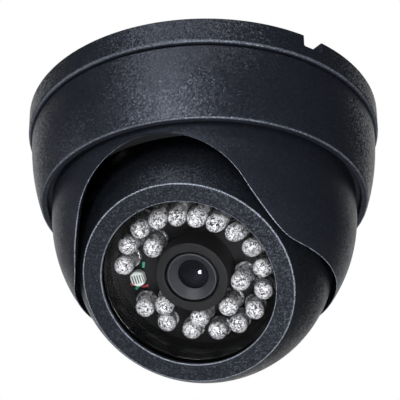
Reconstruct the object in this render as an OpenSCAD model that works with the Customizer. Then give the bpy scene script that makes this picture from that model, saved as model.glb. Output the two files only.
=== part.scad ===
// Ceiling dome camera: a round mounting base, a twist-on locking ring, a dome cover that pans,
// and a ball that tilts inside it with the lens, the night lights and the light sensor.
// Millimetres. The origin is the centre of the ceiling face, +Z points up to the ceiling,
// and at rest the ball looks towards -Y and downwards.

/* [Ball] */
// outer diameter of the tilting ball
ball_d = 68; // [60:0.5:90]
// wall of the ball's two shells
ball_wall = 2.2; // [1.6:0.1:3]
// angle of the view below the horizon at rest
tilt = 51.2; // [25:0.1:90]
// distance from the ball's side flats to the sphere's widest point
flat_depth = 1.9; // [1:0.1:3]
// plane where the front and rear shells meet, behind the ball's centre
split_back = 6; // [5.5:0.1:9]
// height of the sphere that is left off at the back
back_off = 12; // [8:0.5:16]
// wall behind the ball's side flats
side_wall = 1.9; // [1.5:0.1:3]
// wall at the ball's flat back
back_t = 2; // [1.6:0.1:3]

/* [Bezel and window] */
// distance from the ball's centre to the flat front ring
face_z = 20.53; // [17:0.01:26]
// width of the flat front ring
bezel_w = 4.8; // [3.5:0.1:8]
// thickness of the front ring
face_t = 3; // [2.2:0.1:4]
// depth of the window's seat below the front ring
seat_depth = 1; // [0.8:0.1:2]
// width of the seat that holds the window
seat_w = 1.7; // [1.2:0.1:2.5]
// thickness of the soft seal in front of the window
seal_t = 0.5; // [0.3:0.1:1]
// thickness of the clear window
window_t = 1.6; // [1:0.1:3]
// thickness of the sleeve's screwed flange
sleeve_flange_t = 2; // [1.5:0.1:3]

/* [Night lights] */
// diameter of a light's clear body
led_d = 5; // [3:0.1:5]
// diameter of a light's foot
led_foot_d = 5.8; // [3.8:0.1:5.8]
// height of a light above the board
led_h = 8.6; // [5:0.1:9]
// air between the lights' tips and the window
led_air = 0.9; // [0.5:0.1:3]
// clear width between the outer ring of lights and the sleeve
led_margin = 1.6; // [1:0.1:4]
// smallest clear gap between two lights in the outer ring
led_gap = 0.1; // [0.1:0.1:1.5]
// number of wider gaps in the outer ring, on the low side of the light sensor
led_wide_n = 4; // [2:1:6]
// thickness of a circuit board
board_t = 1.6; // [1:0.1:2]
// diameter of the light sensor
cell_d = 4.2; // [3.6:0.1:5.2]
// thickness of the light sensor
cell_t = 2; // [1.5:0.1:2.5]

/* [Lens] */
// diameter of the lens thread
lens_thread_d = 12; // [10:0.5:14]
// diameter of the lens head
lens_head_d = 12.8; // [12.4:0.1:16]
// length of the lens head
lens_head_l = 3.4; // [2:0.1:6]
// whole length of the lens
lens_l = 15.3; // [12:0.1:17]
// air between the lens and the window
lens_air = 1.5; // [0.8:0.1:3]
// diameter of the clear front glass
glass_d = 8; // [5:0.1:9.6]
// radius of the front glass's dome
glass_round = 8; // [6:0.1:12]
// depth of the cone in front of the glass
cone_depth = 1.8; // [1:0.1:2.5]
// wall of the soft tube round the lens
shroud_wall = 2.5; // [1.2:0.1:3]
// air between the lens head and the soft tube
shroud_air = 0.5; // [0.3:0.1:1]
// distance from the lens's rear end to the sensor board
back_focus = 5; // [4.5:0.1:8]

/* [Dome cover] */
// air between the ball and the dome cover, where the yoke's arms run
ball_gap = 4; // [4:0.1:6]
// wall of the dome cover
cover_wall = 2; // [1.6:0.1:3]
// ball centre below the dome cover's centre
ball_drop = 10.2; // [6:0.1:12]
// air between the ball and the edge of the lower opening
opening_gap = 0.4; // [0.35:0.05:1]
// straight neck of the dome cover, under its flange
neck_h = 5.3; // [4:0.1:8]
// width of the dome cover's flange
flange_w = 2.2; // [1.6:0.1:3]
// thickness of the dome cover's flange
flange_t = 2; // [1.5:0.1:3]
// radius of the arch's top
arch_r = 23.5; // [18:0.1:26]
// height of the arch's top above the cover's own centre, along the cut
arch_top = 29.6; // [25:0.1:32]
// slope of the arch's sides
arch_flare = 20; // [5:1:30]

/* [Yoke] */
// thickness of the yoke's steel
yoke_t = 1.6; // [1.2:0.1:2]
// width of the yoke's arms
arm_w = 9; // [7:0.5:12]
// diameter of the tilt pins
pin_d = 3; // [2.5:0.1:3.5]
// thickness of the slip washers at the tilt pins
washer_t = 0.4; // [0.3:0.05:0.6]

/* [Locking ring] */
// width of the ring outside the dome cover's flange
ring_side = 3.8; // [3:0.1:7]
// wall of the locking ring at its widest place
ring_wall = 2.7; // [2:0.1:4]
// height of the locking ring
ring_h = 19.8; // [17:0.1:26]
// radius of the ring's bulging side
ring_bulge = 58; // [45:1:90]
// height of the ring's widest place above its foot
bulge_up = 18.2; // [14:0.1:20]
// thickness of the ring's lip under the flange
lip_t = 2; // [1.5:0.1:3]
// air between the lip and the dome cover
lip_gap = 1.2; // [0.8:0.1:2]
// radial room for the locking lugs
lug_room = 2.7; // [2:0.1:4]
// thickness of a locking lug
lug_t = 2.1; // [1.5:0.1:3]
// turn that frees the ring
twist = 36; // [34:1:45]

/* [Base] */
// height of the mounting base's rim
base_h = 7.1; // [5:0.1:12]
// overhang of the base over the ring
base_over = 1; // [0.5:0.1:3]
// thickness of the ceiling plate
plate_t = 2.6; // [2:0.1:4]
// wall of the base's rim
rim_wall = 2.4; // [1.8:0.1:4]
// wall of the collar that carries the lugs
collar_wall = 2.2; // [1.6:0.1:3]
// thickness of the felt washer under the collar
felt_t = 0.6; // [0.4:0.1:1.2]
// diameter of the cable hole
cable_hole_d = 14; // [8:0.5:24]
// circle of the ceiling screws
screw_circle_d = 60; // [40:1:66]
// diameter of the ceiling screw holes
screw_hole_d = 4.5; // [3.5:0.1:6]
// width of the cable notch in the rim
notch_w = 6; // [5.8:0.1:8]
// height of the cable notch
notch_h = 3.5; // [2.8:0.1:5]
// direction of the cable notch, from the front towards +X
notch_at = 57; // [0:1:180]

/* [Hidden] */
$fn = 64;
e = 0.01;
// clearances
fit = 0.1;
run = 0.05;
air = 0.3;
slip = 0.05;
// heights down the axis
ring_top = -(base_h + air);
ring_low = ring_top - ring_h;
lip_top = ring_low + lip_t;
flange_low = lip_top + fit;
flange_top = flange_low + flange_t;
felt_low = flange_top + slip;
collar_low = felt_low + felt_t + slip;
// the ball hangs clear of the ceiling plate, so a bigger ball makes the cover's neck longer
ball_r = ball_d / 2;
ball_air = 3.9;
cover_z = min(flange_low - neck_h, ball_drop - plate_t - ball_air - ball_r);
ball_z = cover_z - ball_drop;
// radii
cover_in = ball_r + ball_gap;
cover_r = cover_in + cover_wall;
open_gap_r = ball_r + opening_gap;
// the opening's inner edge lies on the cover's inner sphere, open_gap_r from the ball's centre
edge_z = (cover_in * cover_in - open_gap_r * open_gap_r + ball_drop * ball_drop)
    / (2 * ball_drop);
open_r = sqrt(cover_in * cover_in - edge_z * edge_z);
flange_r = cover_r + flange_w;
lip_in = cover_r + lip_gap;
ring_r = flange_r + ring_side;
ring_in = ring_r - ring_wall;
base_r = ring_r + base_over;
collar_r = ring_in - lug_room;
collar_in = collar_r - collar_wall;
lug_r = ring_in - 0.4;
ring_lug_in = collar_r + 0.4;
lug_top = ring_top - 6.6;
stop_angle = 3;
lug_angle = twist - 2 * stop_angle;
// yoke
flat_x = ball_r - flat_depth;
arm_x = flat_x + washer_t + 2 * slip;
yoke_top = flange_low;
yoke_low = yoke_top - yoke_t;
yoke_out = cover_in - 0.4;
yoke_in = yoke_out - 2.8;
yoke_screw_r = cover_in - 2.2;
// the pins' heads fit between the arms and the cover's inner sphere
pin_head_r = 2.3;
pin_room = sqrt(pow(cover_in, 2) - pow(ball_drop + pin_head_r, 2)) - arm_x - yoke_t - slip;
pin_head_t = min(1.1, pin_room - 0.2);
boss_h = 4.3;
screw_r = 1;
head_r = 1.9;
head_t = 1.2;
pan_tab_w = 5;
pan_tab_in = yoke_out - 1.6;
// ball, with its view along +Z from its own centre
face_r = sqrt(ball_r * ball_r - face_z * face_z);
window_open_r = face_r - bezel_w;
window_r = window_open_r + seat_w - fit;
window_top = face_z - seat_depth - seal_t;
window_low = window_top - window_t;
back_z = -(ball_r - back_off);
cavity_x = flat_x - side_wall;
in_r = ball_r - ball_wall;
trunnion_r = 4.5;
trunnion_l = 3;
// lights
led_tip = window_low - led_air;
board_z = led_tip - led_h;
light_r = max(led_d, led_foot_d) / 2;
led_ring_r = window_open_r - led_margin - light_r;
lens_out = max(lens_head_d, lens_thread_d) / 2;
shroud_in = lens_out + shroud_air;
shroud_r = shroud_in + shroud_wall;
led_inner_r = shroud_r + light_r + fit;
// the outer lights stand led_gap apart, and far enough for an inner light between two of them
between = 2 * light_r + fit;
inner_cos = (led_ring_r * led_ring_r + led_inner_r * led_inner_r - between * between)
    / (2 * led_ring_r * led_inner_r);
inner_step = inner_cos < 1 ? 2 * acos(inner_cos) : 0;
led_step = max(2 * asin((light_r + led_gap / 2) / led_ring_r), inner_step);
led_places = floor(360 / led_step);
led_close_n = led_places - led_wide_n;
led_wide_step = (360 - led_close_n * led_step) / led_wide_n;
cell_r = led_ring_r - 1.5;
// boards and posts
post_n = 3;
post_r = window_r + 2.6;
sleeve_flange_r = post_r + 2.2;
led_board_r = sleeve_flange_r - 0.2;
inside_x = cavity_x - 0.2;
led_board_x = board_z - board_t > trunnion_r + fit ? inside_x : cavity_x - trunnion_l - 1.2;
lens_front = window_low - lens_air;
lens_low = lens_front - lens_l;
sensor_z = lens_low - back_focus;
board_gap = board_z - board_t - sensor_z;
rear_screw_r = in_r - 2.2;
lens_bore = lens_thread_d / 2 + run;
holder_w = 2 * (lens_bore + 1.95);
holder_top = board_z - board_t - air;
holder_floor = lens_low - 0.4;

// the ball's own frame: its view along +Z, its tilt axis along X
module in_ball() {
    translate([0, 0, ball_z])
    rotate([90 + tilt, 0, 0])
    children();
}

module sector(r, h, from, to) {
    mid = (from + to) / 2;
    half = (to - from) / 2;
    rotate([0, 0, mid])
    linear_extrude(height = h)
    polygon([[0, 0], [r / cos(half), -r * tan(half)], [r / cos(half), r * tan(half)]]);
}

module tube(r_out, r_in, low, high) {
    translate([0, 0, low])
    difference() {
        cylinder(r = r_out, h = high - low);
        translate([0, 0, -1])
        cylinder(r = r_in, h = high - low + 2);
    }
}

module lug(r_out, r_in, low, high, from, to) {
    intersection() {
        tube(r_out, r_in, low, high);
        translate([0, 0, low - 1])
        sector(r_out * 1.5, high - low + 2, from, to);
    }
}

module base_profile() {
    polygon([[0, 0], [base_r - 0.4, 0], [base_r, -0.4], [base_r, -base_h + 0.8],
        [base_r - 0.8, -base_h], [base_r - rim_wall, -base_h],
        [base_r - rim_wall, -plate_t], [0, -plate_t]]);
}

module mounting_base() {
    color([0.11, 0.12, 0.14])
    difference() {
        union() {
            rotate_extrude()
            base_profile();
            tube(collar_r, collar_in, collar_low, -plate_t + 0.5);
            for (i = [0:2]) {
                lug(lug_r, collar_r - 0.5, lug_top - lug_t - 0.3, lug_top,
                    120 * i, 120 * i + lug_angle + stop_angle);
                lug(lug_r, collar_r - 0.5, lug_top - 0.5, lug_top + lug_t + 0.4,
                    120 * i + lug_angle, 120 * i + lug_angle + stop_angle);
                rotate([0, 0, 90 + 120 * i])
                translate([screw_circle_d / 2, 0, -plate_t - 1.4])
                cylinder(r = screw_hole_d / 2 + 2.2, h = 2);
            }
            // pan stop, at the back
            translate([-pan_tab_w / 2, pan_tab_in - fit, collar_low + 0.7])
            cube([pan_tab_w, collar_in + 0.8 - pan_tab_in, -collar_low - 1]);
        }
        translate([0, 0, -plate_t - 1])
        cylinder(d = cable_hole_d, h = plate_t + 2);
        for (i = [0:2])
            rotate([0, 0, 90 + 120 * i])
            translate([screw_circle_d / 2, 0, -plate_t - 3])
            cylinder(d = screw_hole_d, h = plate_t + 4);
        rotate([0, 0, notch_at])
        translate([-notch_w / 2, -base_r - 1, -notch_h])
        cube([notch_w, base_r + 1 - collar_r - 0.2, notch_h + 1]);
    }
}

module pan_washer() {
    color([0.25, 0.26, 0.28])
    tube(flange_r - 0.3, collar_in, felt_low, felt_low + felt_t);
}

module ring_profile() {
    difference() {
        intersection() {
            translate([ring_r - ring_bulge, ring_low + bulge_up])
            circle(r = ring_bulge, $fn = 360);
            translate([0, ring_low])
            square([ring_r + 1, ring_h]);
        }
        translate([-1, lip_top + 3])
        square([ring_in + 1, ring_h]);
        translate([-1, lip_top])
        square([flange_r + 0.4 + 1, 4]);
        translate([-1, ring_low - 1])
        square([lip_in + 1, ring_h]);
    }
}

module locking_ring() {
    color([0.13, 0.14, 0.16])
    union() {
        rotate_extrude($fn = 180)
        ring_profile();
        for (i = [0:2])
            lug(ring_in + 0.5, ring_lug_in, lug_top + fit, lug_top + fit + lug_t,
                120 * i, 120 * i + lug_angle - 0.5);
    }
}

// the arch is cut along a line 45 degrees below the horizon, through the front half only
module arch_cut() {
    low = arch_top - arch_r;
    dx = (arch_r - 0.1) * cos(arch_flare);
    dy = (arch_r - 0.1) * sin(arch_flare);
    drop = 2 * cover_r;
    translate([0, 0, cover_z])
    intersection() {
        rotate([135, 0, 0])
        linear_extrude(height = 2 * cover_r)
        union() {
            translate([0, low])
            circle(r = arch_r);
            polygon([[-dx, low + dy], [dx, low + dy],
                [dx + drop * tan(arch_flare), low + dy - drop],
                [-dx - drop * tan(arch_flare), low + dy - drop]]);
        }
        translate([-2 * cover_r, -2 * cover_r, -2 * cover_r])
        cube([4 * cover_r, 2 * cover_r - 5, 4 * cover_r]);
    }
}

module dome_outline(r, top) {
    union() {
        intersection() {
            circle(r = r, $fn = 360);
            translate([0, -r])
            square([r, r]);
        }
        square([r, top]);
    }
}

module cover_profile() {
    neck = flange_top - cover_z;
    difference() {
        union() {
            dome_outline(cover_r, neck);
            translate([0, neck - flange_t])
            square([flange_r, flange_t]);
        }
        dome_outline(cover_in, neck + 1);
        translate([0, -cover_r - 1])
        square([open_r, cover_r]);
    }
}

module dome_cover() {
    color([0.12, 0.13, 0.15])
    difference() {
        union() {
            difference() {
                translate([0, 0, cover_z])
                rotate_extrude($fn = 180)
                cover_profile();
                arch_cut();
            }
            // bosses for the yoke's screws
            for (i = [0:3])
                rotate([0, 0, 45 + 90 * i])
                translate([yoke_screw_r, 0, yoke_low - boss_h])
                cylinder(r = 2.4, h = boss_h);
        }
        for (i = [0:3])
            rotate([0, 0, 45 + 90 * i])
            translate([yoke_screw_r, 0, yoke_low - boss_h + 0.5])
            cylinder(r = screw_r + run, h = boss_h);
    }
}

module yoke() {
    color([0.16, 0.16, 0.17])
    difference() {
        union() {
            tube(yoke_out, yoke_in, yoke_low, yoke_top);
            for (s = [-1, 1])
                rotate([0, 0, s > 0 ? 0 : 180]) {
                    intersection() {
                        union() {
                            translate([arm_x, -arm_w / 2, ball_z])
                            cube([yoke_t, arm_w, yoke_top - ball_z]);
                            translate([arm_x, 0, ball_z])
                            rotate([0, 90, 0])
                            cylinder(d = arm_w, h = yoke_t);
                        }
                        translate([0, 0, cover_z])
                        sphere(r = cover_in - air, $fn = 180);
                    }
                    translate([arm_x, -arm_w / 2, yoke_low])
                    cube([yoke_out - 0.6 - arm_x, arm_w, yoke_t]);
                }
            // pan stop tab, at the front
            translate([-pan_tab_w / 2, -yoke_out + 0.1, yoke_low])
            cube([pan_tab_w, 1.4, collar_low - yoke_low + 3.2]);
        }
        translate([-cover_r, 0, ball_z])
        rotate([0, 90, 0])
        cylinder(r = pin_d / 2 + run, h = 2 * cover_r);
        for (i = [0:3])
            rotate([0, 0, 45 + 90 * i])
            translate([yoke_screw_r, 0, yoke_low - 1])
            cylinder(r = screw_r + 0.15, h = yoke_t + 2);
    }
}

module yoke_screws() {
    color([0.75, 0.75, 0.77])
    for (i = [0:3])
        rotate([0, 0, 45 + 90 * i])
        translate([yoke_screw_r, 0, 0]) {
            translate([0, 0, yoke_low - boss_h + 1])
            cylinder(r = screw_r, h = yoke_top - yoke_low + boss_h - 1 + 0.2);
            translate([0, 0, yoke_top])
            difference() {
                cylinder(r = head_r, h = head_t);
                for (a = [0, 90])
                    rotate([0, 0, a])
                    translate([-1.2, -0.25, head_t - 0.6])
                    cube([2.4, 0.5, 1]);
            }
        }
}

module slip_washers() {
    color([0.85, 0.85, 0.82])
    for (s = [-1, 1])
        translate([s > 0 ? flat_x + slip : -flat_x - slip - washer_t, 0, ball_z])
        rotate([0, 90, 0])
        difference() {
            cylinder(r = trunnion_r, h = washer_t);
            translate([0, 0, -1])
            cylinder(r = pin_d / 2 + run, h = washer_t + 2);
        }
}

module ball_solid(low, high) {
    intersection() {
        sphere(r = ball_r, $fn = 180);
        translate([-flat_x, -ball_r - 1, low])
        cube([2 * flat_x, 2 * ball_r + 2, high - low]);
    }
}

module ball_cavity() {
    intersection() {
        sphere(r = in_r, $fn = 180);
        translate([-cavity_x, -ball_r, back_z + back_t])
        cube([2 * cavity_x, 2 * ball_r, face_z - face_t - back_z - back_t]);
    }
}

module at_posts() {
    for (i = [0:post_n - 1])
        rotate([0, 0, 90 + 360 / post_n * i])
        translate([post_r, 0, 0])
        children();
}

module at_rear_screws() {
    for (a = [30, 150, 270])
        rotate([0, 0, a])
        translate([rear_screw_r, 0, 0])
        children();
}

module ball_front() {
    color([0.13, 0.14, 0.16])
    in_ball()
    difference() {
        union() {
            difference() {
                ball_solid(-split_back, face_z);
                ball_cavity();
            }
            intersection() {
                union() {
                    at_posts()
                    translate([0, 0, board_z + sleeve_flange_t])
                    cylinder(r = 2.3, h = face_z - face_t - board_z - sleeve_flange_t + 0.5);
                    at_rear_screws()
                    translate([0, 0, -split_back])
                    cylinder(r = 2.6, h = 7);
                    for (a = [0, 180])
                        rotate([0, 0, a])
                        translate([cavity_x - trunnion_l, 0, 0])
                        rotate([0, 90, 0])
                        cylinder(r = trunnion_r, h = trunnion_l + 0.5);
                }
                ball_solid(-split_back, face_z - 0.5);
            }
        }
        translate([0, 0, face_z - face_t - 1])
        cylinder(r = window_open_r, h = face_t + 2);
        translate([0, 0, face_z - face_t - 1])
        cylinder(r = window_r + fit, h = face_t + 1 - seat_depth);
        translate([0, 0, face_z - 0.35])
        cylinder(r1 = window_open_r, r2 = window_open_r + 0.36, h = 0.36);
        translate([-ball_r, 0, 0])
        rotate([0, 90, 0])
        cylinder(r = pin_d / 2 + 0.02, h = 2 * ball_r);
        at_posts()
        translate([0, 0, board_z])
        cylinder(r = screw_r + run, h = 6.5);
        at_rear_screws()
        translate([0, 0, -split_back - 1])
        cylinder(r = screw_r + run, h = 6);
    }
}

module ball_rear() {
    color([0.12, 0.13, 0.15])
    in_ball()
    difference() {
        union() {
            difference() {
                ball_solid(back_z, -split_back);
                ball_cavity();
            }
            intersection() {
                at_rear_screws()
                translate([0, 0, back_z])
                cylinder(r = 3, h = -split_back - back_z);
                ball_solid(back_z, -split_back);
            }
        }
        at_rear_screws()
        translate([0, 0, back_z - 1])
        cylinder(r = screw_r + 0.2, h = -back_z + 1);
        at_rear_screws()
        translate([0, 0, -ball_r])
        cylinder(r = head_r + 0.2, h = ball_r - split_back - 4);
        translate([0, 0, back_z - 1])
        cylinder(r = 4.6, h = back_t + 2);
    }
}

module shell_screws() {
    color([0.75, 0.75, 0.77])
    in_ball()
    at_rear_screws() {
        translate([0, 0, -split_back - 4])
        cylinder(r = screw_r, h = 8.5);
        translate([0, 0, -split_back - 4 - head_t])
        difference() {
            cylinder(r = head_r, h = head_t);
            for (a = [0, 90])
                rotate([0, 0, a])
                translate([-1.2, -0.25, -0.4])
                cube([2.4, 0.5, 1]);
        }
    }
}

module tilt_pins() {
    color([0.7, 0.7, 0.72])
    in_ball()
    for (a = [0, 180])
        rotate([0, 0, a])
        rotate([0, 90, 0]) {
            translate([0, 0, cavity_x - trunnion_l + 0.4])
            cylinder(r = pin_d / 2, h = arm_x + yoke_t + slip - cavity_x + trunnion_l - 0.4);
            translate([0, 0, arm_x + yoke_t + slip])
            difference() {
                cylinder(r = pin_head_r, h = pin_head_t);
                translate([-1.8, -0.3, pin_head_t - 0.5])
                cube([3.6, 0.6, 1]);
            }
        }
}

module window_seal() {
    color([0.05, 0.05, 0.05])
    in_ball()
    tube(window_r, window_open_r + 0.2, window_top, window_top + seal_t);
}

module window() {
    color([0.8, 0.85, 0.9, 0.3])
    in_ball()
    translate([0, 0, window_low])
    cylinder(r = window_r, h = window_t);
}

module inner_sleeve() {
    color([0.06, 0.06, 0.07])
    in_ball()
    difference() {
        union() {
            tube(window_r, window_open_r, board_z, window_low);
            intersection() {
                tube(sleeve_flange_r, window_open_r, board_z, board_z + sleeve_flange_t);
                translate([-inside_x, -ball_r, board_z - 1])
                cube([2 * inside_x, 2 * ball_r, sleeve_flange_t + 2]);
            }
        }
        at_posts()
        translate([0, 0, board_z - 1])
        cylinder(r = screw_r + 0.15, h = sleeve_flange_t + 2);
    }
}

// places run round from the light sensor, first led_step apart and then by the wider gaps
function led_angle(i) =
    180 - min(i, led_close_n) * led_step - max(i - led_close_n, 0) * led_wide_step;

// every place on the outer ring but the one of the light sensor
module at_outer_lights() {
    for (i = [1:led_places - 1])
        rotate([0, 0, led_angle(i)])
        translate([led_ring_r, 0, 0])
        children();
}

// on every other gap of the outer ring, but not beside the light sensor, at the top or
// down the side next to it
module at_inner_lights() {
    for (i = [1:floor(led_places / 2) - 1]) {
        a = (led_angle(2 * i) + led_angle(2 * i + 1)) / 2;
        if (abs(a - 60) > 60)
            rotate([0, 0, a])
            translate([led_inner_r, 0, 0])
            children();
    }
}

module lead_holes() {
    for (s = [-1, 1])
        translate([0, s * 1.27, board_z - board_t - 1])
        cylinder(r = 0.42, h = board_t + 2);
}

module led_board() {
    color([0.05, 0.2, 0.12])
    in_ball()
    difference() {
        intersection() {
            translate([0, 0, board_z - board_t])
            cylinder(r = led_board_r, h = board_t);
            translate([-led_board_x, -ball_r, board_z - board_t - 1])
            cube([2 * led_board_x, 2 * ball_r, board_t + 2]);
        }
        translate([0, 0, board_z - board_t - 1])
        cylinder(r = lens_out + 0.6, h = board_t + 2);
        at_outer_lights()
        lead_holes();
        at_inner_lights()
        lead_holes();
        rotate([0, 0, 180])
        translate([cell_r, 0, 0])
        lead_holes();
        at_posts()
        translate([0, 0, board_z - board_t - 1])
        cylinder(r = screw_r + 0.15, h = board_t + 2);
    }
}

module night_light() {
    translate([0, 0, board_z])
    rotate_extrude($fn = 48)
    intersection() {
        union() {
            square([led_foot_d / 2, 1]);
            square([led_d / 2, led_h - led_d / 2]);
            translate([0, led_h - led_d / 2])
            circle(d = led_d);
        }
        square([led_foot_d, led_h + 1]);
    }
}

module night_lights() {
    color([0.9, 0.93, 0.97, 0.5])
    in_ball() {
        at_outer_lights()
        night_light();
        at_inner_lights()
        night_light();
    }
}

module light_lead() {
    translate([-0.25, -1.27 - 0.25, board_z - board_t - 1.5])
    cube([0.5, 0.5, board_t + 5.2]);
    translate([-0.25, 1.27 - 0.25, board_z - board_t - 1.5])
    cube([0.5, 0.5, board_t + 4.4]);
    translate([0, -0.75, board_z + 3])
    cylinder(r1 = 0.7, r2 = 1, h = 1);
}

module light_leads() {
    color([0.8, 0.8, 0.8])
    in_ball() {
        at_outer_lights()
        light_lead();
        at_inner_lights()
        light_lead();
    }
}

module light_sensor() {
    color([0.85, 0.9, 0.84])
    in_ball()
    rotate([0, 0, 180])
    translate([cell_r, 0, board_z + 0.5])
    intersection() {
        cylinder(d = cell_d, h = cell_t);
        translate([-cell_d * 0.43, -cell_d / 2, -1])
        cube([cell_d * 0.86, cell_d, cell_t + 2]);
    }
}

module sensor_leads() {
    color([0.8, 0.8, 0.8])
    in_ball()
    rotate([0, 0, 180])
    translate([cell_r, 0, 0])
    for (s = [-1, 1])
        translate([0, s * 1.27, board_z - board_t - 1.2])
        cylinder(r = 0.25, h = board_t + 1.7);
}

module lens_shroud() {
    color([0.05, 0.05, 0.06])
    in_ball()
    tube(shroud_r, shroud_in, board_z, lens_front + 0.3);
}

module board_posts() {
    color([0.8, 0.65, 0.3])
    in_ball()
    at_posts() {
        difference() {
            translate([0, 0, sensor_z])
            cylinder(r = 2.3, h = board_gap, $fn = 6);
            translate([0, 0, sensor_z - 1])
            cylinder(r = screw_r + run, h = 6);
        }
        translate([0, 0, board_z - board_t - 0.5])
        cylinder(r = screw_r, h = board_t + sleeve_flange_t + 4.5);
    }
}

module sensor_board() {
    color([0.05, 0.25, 0.14])
    in_ball()
    difference() {
        intersection() {
            translate([0, 0, sensor_z - board_t])
            cylinder(r = led_board_r, h = board_t);
            translate([-cavity_x + trunnion_l + 1.2, -ball_r, sensor_z - board_t - 1])
            cube([2 * (cavity_x - trunnion_l - 1.2), 2 * ball_r, board_t + 2]);
        }
        at_posts()
        translate([0, 0, sensor_z - board_t - 1])
        cylinder(r = screw_r + 0.15, h = board_t + 2);
        at_rear_screws()
        translate([0, 0, sensor_z - board_t - 1])
        cylinder(r = 3.3, h = board_t + 2);
        for (s = [-1, 1])
            translate([s * (holder_w / 2 + 2), 0, sensor_z - board_t - 1])
            cylinder(r = screw_r + 0.15, h = board_t + 2);
    }
}

module board_screws() {
    color([0.75, 0.75, 0.77])
    in_ball()
    at_posts() {
        translate([0, 0, sensor_z - board_t - 0.2])
        cylinder(r = screw_r, h = board_t + 4.2);
        translate([0, 0, sensor_z - board_t - head_t])
        difference() {
            cylinder(r = head_r, h = head_t);
            for (a = [0, 90])
                rotate([0, 0, a])
                translate([-1.2, -0.25, -0.4])
                cube([2.4, 0.5, 1]);
        }
    }
}

module lens_holder() {
    color([0.08, 0.08, 0.09])
    in_ball()
    difference() {
        union() {
            translate([-holder_w / 2, -holder_w / 2, sensor_z])
            cube([holder_w, holder_w, holder_floor - sensor_z + 1]);
            translate([0, 0, sensor_z])
            cylinder(r = lens_bore + 1.8, h = holder_top - sensor_z);
            for (s = [-1, 1])
                translate([s * (holder_w / 2 + 2), 0, sensor_z])
                cylinder(r = 2.4, h = 3);
            translate([-holder_w / 2 - 2, -2, sensor_z])
            cube([holder_w + 4, 4, 3]);
        }
        translate([0, 0, holder_floor])
        cylinder(r = lens_bore, h = holder_top);
        translate([0, 0, sensor_z - 1])
        cylinder(r = 3.6, h = holder_top);
        translate([-5.2, -5.2, sensor_z - 1])
        cube([10.4, 10.4, holder_floor - 1 - sensor_z + 1]);
        for (s = [-1, 1])
            translate([s * (holder_w / 2 + 2), 0, sensor_z - 1])
            cylinder(r = screw_r + run, h = 3.5);
    }
}

module holder_screws() {
    color([0.75, 0.75, 0.77])
    in_ball()
    for (s = [-1, 1])
        translate([s * (holder_w / 2 + 2), 0, sensor_z - board_t]) {
            translate([0, 0, -0.2])
            cylinder(r = screw_r, h = board_t + 2.4);
            translate([0, 0, -head_t])
            cylinder(r = head_r, h = head_t);
        }
}

module ir_filter() {
    color([0.7, 0.4, 0.4, 0.4])
    in_ball()
    translate([-4.6, -4.6, holder_floor - 1 - 0.7])
    cube([9.2, 9.2, 0.7]);
}

module image_sensor() {
    color([0.2, 0.2, 0.25])
    in_ball()
    translate([-3.6, -3.4, sensor_z])
    cube([7.2, 6.8, 1]);
}

module lens_barrel() {
    bore = glass_d / 2 + 0.7;
    seat = lens_front - cone_depth;
    color([0.2, 0.2, 0.22])
    in_ball()
    difference() {
        union() {
            translate([0, 0, lens_low])
            cylinder(r = lens_thread_d / 2, h = lens_l - lens_head_l + 1);
            translate([0, 0, lens_front - lens_head_l])
            cylinder(r = lens_head_d / 2, h = lens_head_l);
        }
        translate([0, 0, lens_low + 1])
        cylinder(r = bore, h = seat - 0.4 - lens_low - 1);
        translate([0, 0, lens_low - 1])
        cylinder(r = 3.2, h = 3);
        translate([0, 0, seat - 1])
        cylinder(r = glass_d / 2, h = 2);
        translate([0, 0, seat])
        cylinder(r1 = glass_d / 2, r2 = lens_head_d / 2 - 0.4, h = cone_depth + e);
    }
}

module front_glass() {
    bore = glass_d / 2 + 0.7;
    top = lens_front - cone_depth - 0.4;
    color([0.2, 0.25, 0.4, 0.5])
    in_ball()
    intersection() {
        translate([0, 0, top - 2])
        cylinder(r = bore - 0.05, h = 4);
        union() {
            translate([0, 0, top - 2])
            cylinder(r = bore + 1, h = 2 - run);
            intersection() {
                translate([0, 0, top + 0.35 - sqrt(pow(glass_round, 2) - pow(glass_d / 2, 2))])
                sphere(r = glass_round);
                translate([0, 0, top - 1])
                cylinder(r = glass_d / 2 - run, h = 4);
            }
        }
    }
}

module lens_spacer() {
    bore = glass_d / 2 + 0.7;
    color([0.15, 0.15, 0.16])
    in_ball()
    tube(bore - 0.05, bore - 0.9, lens_low + 3, lens_front - cone_depth - 2.4);
}

module rear_glass() {
    bore = glass_d / 2 + 0.7;
    color([0.3, 0.35, 0.4, 0.5])
    in_ball()
    translate([0, 0, lens_low + 1])
    cylinder(r = bore - 0.05, h = 2);
}

module signal_socket() {
    color([0.9, 0.9, 0.86])
    in_ball()
    translate([-5, 10, sensor_z - board_t - 5])
    difference() {
        cube([10, 4.6, 5]);
        translate([0.8, 0.8, -1])
        cube([8.4, 3, 4.5]);
    }
}

module power_socket() {
    color([0.9, 0.9, 0.86])
    in_ball()
    translate([-3.6, -17, sensor_z - board_t - 5])
    difference() {
        cube([7.2, 4.6, 5]);
        translate([0.8, 0.8, -1])
        cube([5.6, 3, 4.5]);
    }
}

module cable_grommet() {
    color([0.05, 0.05, 0.05])
    in_ball()
    difference() {
        union() {
            translate([0, 0, back_z - 1])
            cylinder(r = 4.5, h = back_t + 2);
            translate([0, 0, back_z - 1.4])
            cylinder(r = 6, h = 1.4);
            translate([0, 0, back_z + back_t])
            cylinder(r = 6, h = 1.2);
        }
        translate([0, 0, back_z - 3])
        cylinder(r = 2.4, h = back_t + 6);
    }
}

mounting_base();
pan_washer();
locking_ring();
dome_cover();
yoke();
yoke_screws();
slip_washers();
ball_front();
ball_rear();
shell_screws();
tilt_pins();
window_seal();
window();
inner_sleeve();
led_board();
night_lights();
light_leads();
light_sensor();
sensor_leads();
lens_shroud();
board_posts();
sensor_board();
board_screws();
lens_holder();
holder_screws();
ir_filter();
image_sensor();
lens_barrel();
front_glass();
lens_spacer();
rear_glass();
signal_socket();
power_socket();
cable_grommet();
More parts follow.
